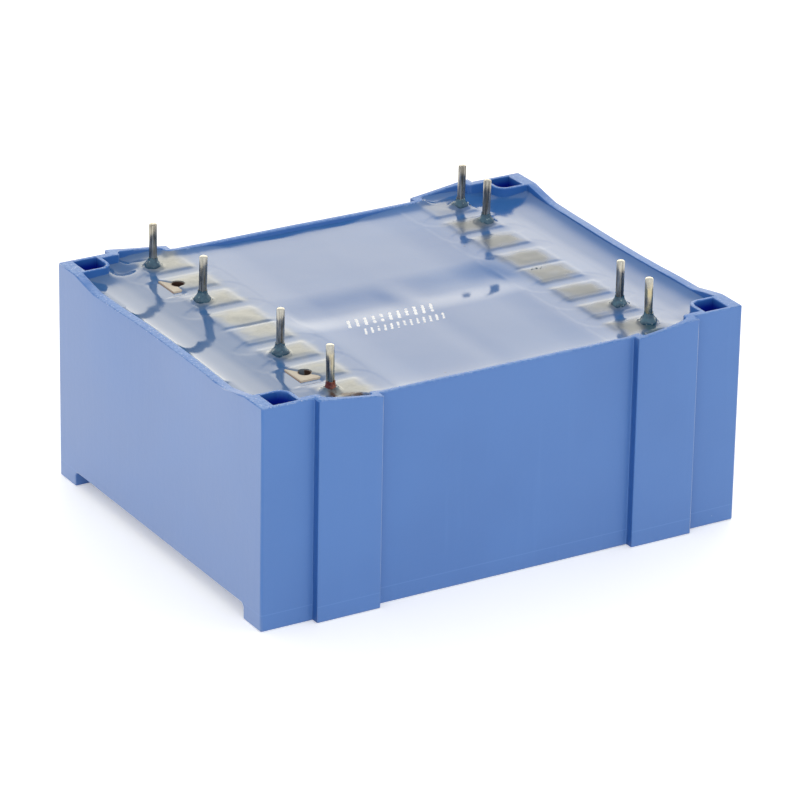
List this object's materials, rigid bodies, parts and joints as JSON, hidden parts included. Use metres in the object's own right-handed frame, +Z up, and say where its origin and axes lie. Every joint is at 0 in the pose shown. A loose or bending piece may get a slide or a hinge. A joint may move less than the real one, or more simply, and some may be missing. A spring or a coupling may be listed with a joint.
{
  "type": "pcb transformer",
  "caption": "Flat potted mains transformer in an open moulded case with corner posts, resin fill and rows of round pins for a circuit board, lying on its closed face.",
  "frame": {"origin": "middle of the case's footprint, on the surface that the case lies on", "axes": "+X along the long side from the primary pins to the secondary pins, +Y to the rear long wall, +Z up along the pins"},
  "size_m": [0.053, 0.0428, 0.0262],
  "materials": {
    "case_plastic": "blue moulded plastic, satin, pale where its edges are rubbed",
    "resin": "blue casting resin, glossy and slightly wavy",
    "core_steel": "varnished electrical steel sheets",
    "bobbin_plastic": "cream moulded nylon",
    "copper_winding": "enamelled copper wire",
    "winding_tape": "yellow polyester tape",
    "tinned_pin": "bright tin plate with fine draw lines",
    "soldered_lead": "copper wire under solder and flux"
  },
  "bodies": {
    "root": {"case": "case_plastic", "potting_resin": "resin", "u_laminations": "core_steel", "i_laminations": "core_steel", "bobbin_rear": "bobbin_plastic", "bobbin_front": "bobbin_plastic", "primary_winding_rear": "copper_winding", "primary_tape_rear": "winding_tape", "secondary_winding_rear": "copper_winding", "secondary_tape_rear": "winding_tape", "primary_winding_front": "copper_winding", "primary_tape_front": "winding_tape", "secondary_winding_front": "copper_winding", "secondary_tape_front": "winding_tape", "pin_1": "tinned_pin", "lead_1": "soldered_lead", "pin_2": "tinned_pin", "lead_2": "soldered_lead", "pin_3": "tinned_pin", "lead_3": "soldered_lead", "pin_4": "tinned_pin", "lead_4": "soldered_lead", "pin_5": "tinned_pin", "lead_5": "soldered_lead", "pin_6": "tinned_pin", "lead_6": "soldered_lead", "pin_7": "tinned_pin", "lead_7": "soldered_lead", "pin_8": "tinned_pin", "lead_8": "soldered_lead"}
  },
  "joints": []
}
